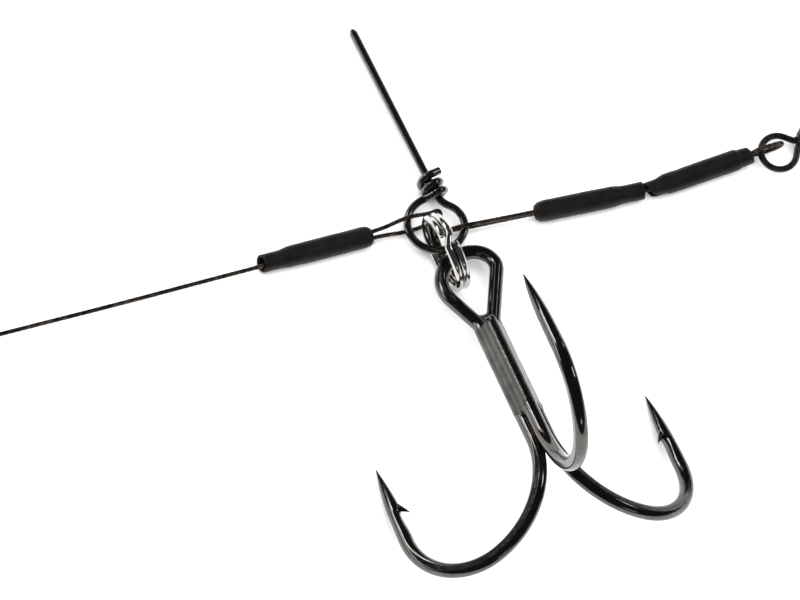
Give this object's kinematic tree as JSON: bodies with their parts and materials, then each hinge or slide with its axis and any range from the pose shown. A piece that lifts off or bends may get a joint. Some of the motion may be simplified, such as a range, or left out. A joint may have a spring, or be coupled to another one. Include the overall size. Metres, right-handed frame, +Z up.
{
  "type": "treble hook rig",
  "caption": "Treble hook on a split ring, with a bait pin and wire leader loops through the pin's round eye, shrink-sleeved crimps and a barrel swivel.",
  "frame": {"origin": "below the middle of the rig without its long leader, on the surface it lies on", "axes": "+X along the leader towards the swivel, +Y along the bait pin towards its point, +Z up"},
  "size_m": [0.0993, 0.0518, 0.0235],
  "materials": {
    "hook_black_nickel": "glossy black nickel plating",
    "shank_braze": "glossy black nickel over solder",
    "ring_chrome": "bright polished plating",
    "pin_steel": "polished spring steel",
    "leader_wire": "dark brown twisted wire",
    "crimp_brass": "blackened metal tube",
    "sleeve_shrink": "matte black heat-shrink tube",
    "swivel_black": "satin black"
  },
  "bodies": {
    "pin": {"bait_pin": "pin_steel"},
    "ring": {"split_ring": "ring_chrome"},
    "treble": {"double_hook": "hook_black_nickel", "single_hook": "hook_black_nickel", "shank_braze": "shank_braze"},
    "leader": {"left_loop": "leader_wire", "crimp_left": "crimp_brass", "sleeve_left": "sleeve_shrink", "trace_wire": "leader_wire", "crimp_end": "crimp_brass", "sleeve_end": "sleeve_shrink", "end_loop": "leader_wire"},
    "link": {"link_wire": "leader_wire", "crimp_middle": "crimp_brass", "sleeve_middle": "sleeve_shrink", "crimp_right": "crimp_brass", "sleeve_right": "sleeve_shrink"},
    "swivel_eye": {"swivel_front_eye": "swivel_black"},
    "barrel": {"swivel_barrel": "swivel_black"},
    "rear_eye": {"swivel_rear_eye": "swivel_black"}
  },
  "joints": [
    {"name": "ring_on_pin", "type": "hinge", "parent": "pin", "child": "ring", "pos_m": [-0.01349, 0.0061, 0.00134], "axis": [-0.0053, 0.0451, 0.999], "range_deg": [-10, 10]},
    {"name": "treble_on_ring", "type": "hinge", "parent": "ring", "child": "treble", "pos_m": [-0.01409, 0.00265, 0.00358], "axis": [-0.9861, -0.1491, -0.0732], "range_deg": [0, 90]},
    {"name": "leader_on_pin", "type": "hinge", "parent": "pin", "child": "leader", "pos_m": [-0.01349, 0.0061, 0.00134], "axis": [-0.0053, 0.0451, 0.999], "range_deg": [-35, 12]},
    {"name": "link_on_pin", "type": "hinge", "parent": "pin", "child": "link", "pos_m": [-0.01349, 0.0061, 0.00134], "axis": [-0.0053, 0.0451, 0.999], "range_deg": [-12, 25]},
    {"name": "swivel_on_link", "type": "hinge", "parent": "link", "child": "swivel_eye", "pos_m": [0.01802, 0.0046, 0.00115], "axis": [0, 0, 1], "range_deg": [-40, 40]},
    {"name": "barrel_spin", "type": "hinge", "parent": "swivel_eye", "child": "barrel", "pos_m": [0.01802, 0.0046, 0.00115], "axis": [0.9789, 0.2045, 0], "continuous": true},
    {"name": "rear_eye_spin", "type": "hinge", "parent": "barrel", "child": "rear_eye", "pos_m": [0.01802, 0.0046, 0.00115], "axis": [0.9789, 0.2045, 0], "continuous": true}
  ]
}
